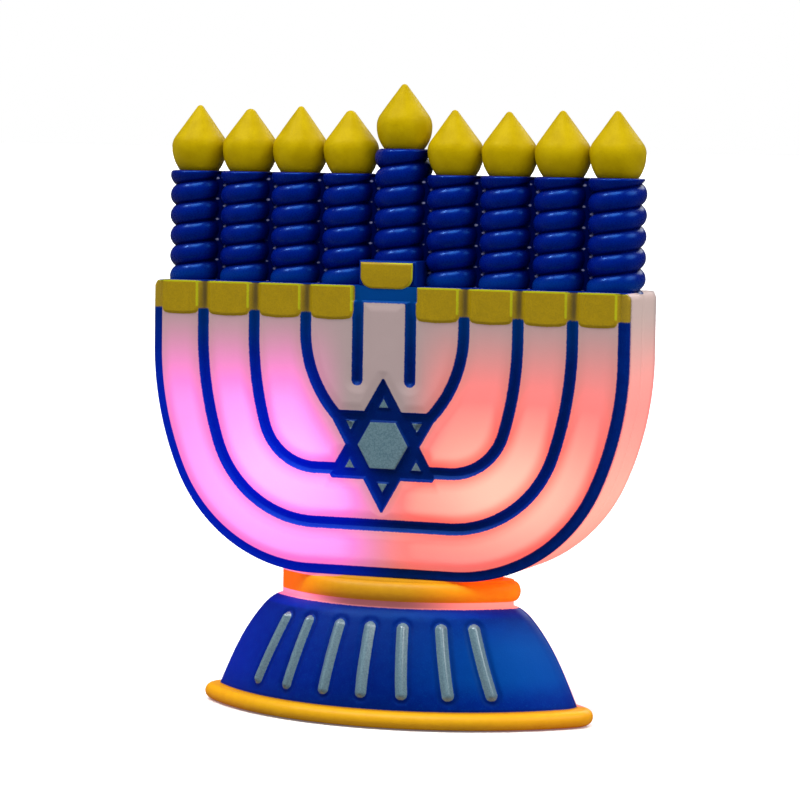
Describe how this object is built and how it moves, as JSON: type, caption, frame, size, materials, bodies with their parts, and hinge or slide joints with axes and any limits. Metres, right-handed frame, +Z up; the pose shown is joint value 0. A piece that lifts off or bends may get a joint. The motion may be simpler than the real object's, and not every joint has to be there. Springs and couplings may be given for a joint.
{
  "type": "light-up menorah",
  "caption": "Small free-standing menorah lamp: candle row with flames on a curved bowl with a star, over a ribbed domed base that holds a battery light module.",
  "frame": {"origin": "centre of the resting face under the base, on the seam plane between the two half shells", "axes": "+X to the right seen from the painted front, +Y to the back, +Z up"},
  "size_m": [0.0902, 0.0388, 0.1133],
  "materials": {
    "painted_vinyl": "satin, soft translucent vinyl with sprayed paint",
    "plain_vinyl": "satin, soft translucent vinyl",
    "white_abs": "satin",
    "screw_steel": "zinc plated",
    "cell_steel": "satin nickel",
    "contact_plate": "nickel plated",
    "spring_steel": "nickel plated",
    "black_plastic": "gloss",
    "switch_case": "matte",
    "board_laminate": "solder mask over glass laminate",
    "black_resin": "gloss",
    "chip_ceramic": "matte",
    "magenta_light": "clear epoxy, lit",
    "red_light": "clear epoxy, lit",
    "white_insulation": "satin",
    "red_insulation": "satin",
    "black_insulation": "satin"
  },
  "bodies": {
    "menorah": {"front_shell": "painted_vinyl", "rear_shell": "plain_vinyl", "base_plug": "white_abs", "button_cell_1": "cell_steel", "button_cell_2": "cell_steel", "button_cell_3": "cell_steel", "positive_contact": "contact_plate", "negative_contact": "contact_plate", "contact_spring": "spring_steel", "switch_body": "switch_case", "switch_spring": "spring_steel", "circuit_board": "board_laminate", "board_screw": "screw_steel", "driver_chip": "black_resin", "board_resistors": "chip_ceramic", "led_mast": "white_abs", "magenta_led": "magenta_light", "red_led": "red_light", "magenta_led_wires": "white_insulation", "red_led_wires": "red_insulation", "battery_wires": "black_insulation"},
    "battery_door": {"battery_door": "white_abs"},
    "left_door_screw": {"left_door_screw": "screw_steel"},
    "right_door_screw": {"right_door_screw": "screw_steel"},
    "push_button": {"push_button": "black_plastic", "switch_plunger": "black_plastic"}
  },
  "joints": [
    {"name": "push_button_press", "type": "slide", "parent": "menorah", "child": "push_button", "axis": [0, 0, 1], "range_m": [0, 0.0015], "deforming": ["switch_spring"]},
    {"name": "battery_door_lift", "type": "slide", "parent": "menorah", "child": "battery_door", "axis": [0, 0, -1], "range_m": [0, 0.012]},
    {"name": "left_screw_back_out", "type": "slide", "parent": "battery_door", "child": "left_door_screw", "axis": [0, 0, -1], "range_m": [0, 0.0052]},
    {"name": "right_screw_back_out", "type": "slide", "parent": "battery_door", "child": "right_door_screw", "axis": [0, 0, -1], "range_m": [0, 0.0052]}
  ]
}
